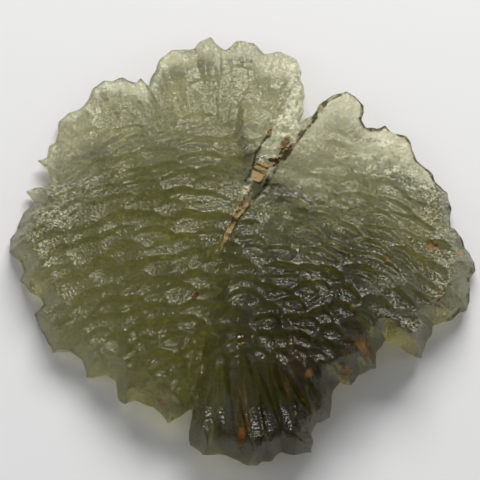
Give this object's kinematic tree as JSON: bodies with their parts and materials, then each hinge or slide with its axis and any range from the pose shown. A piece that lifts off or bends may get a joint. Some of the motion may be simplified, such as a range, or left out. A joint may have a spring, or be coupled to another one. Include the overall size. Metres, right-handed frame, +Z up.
{
  "type": "leaf-shaped moldavite",
  "caption": "Leaf-shaped natural green glass stone, etched with pits and flutes, thin toothed rim, cleft between two lobes with clay lodged in it.",
  "frame": {"origin": "middle of the stone's footprint, on the surface that it rests on", "axes": "+Z up, +Y towards the cleft between the two lobes, +X towards the right-hand lobe"},
  "size_m": [0.0402, 0.0374, 0.0085],
  "materials": {
    "green_glass": "gloss",
    "tan_clay": "matte"
  },
  "bodies": {
    "root": {"moldavite": "green_glass", "clay_lower": "tan_clay", "clay_upper": "tan_clay"}
  },
  "joints": []
}
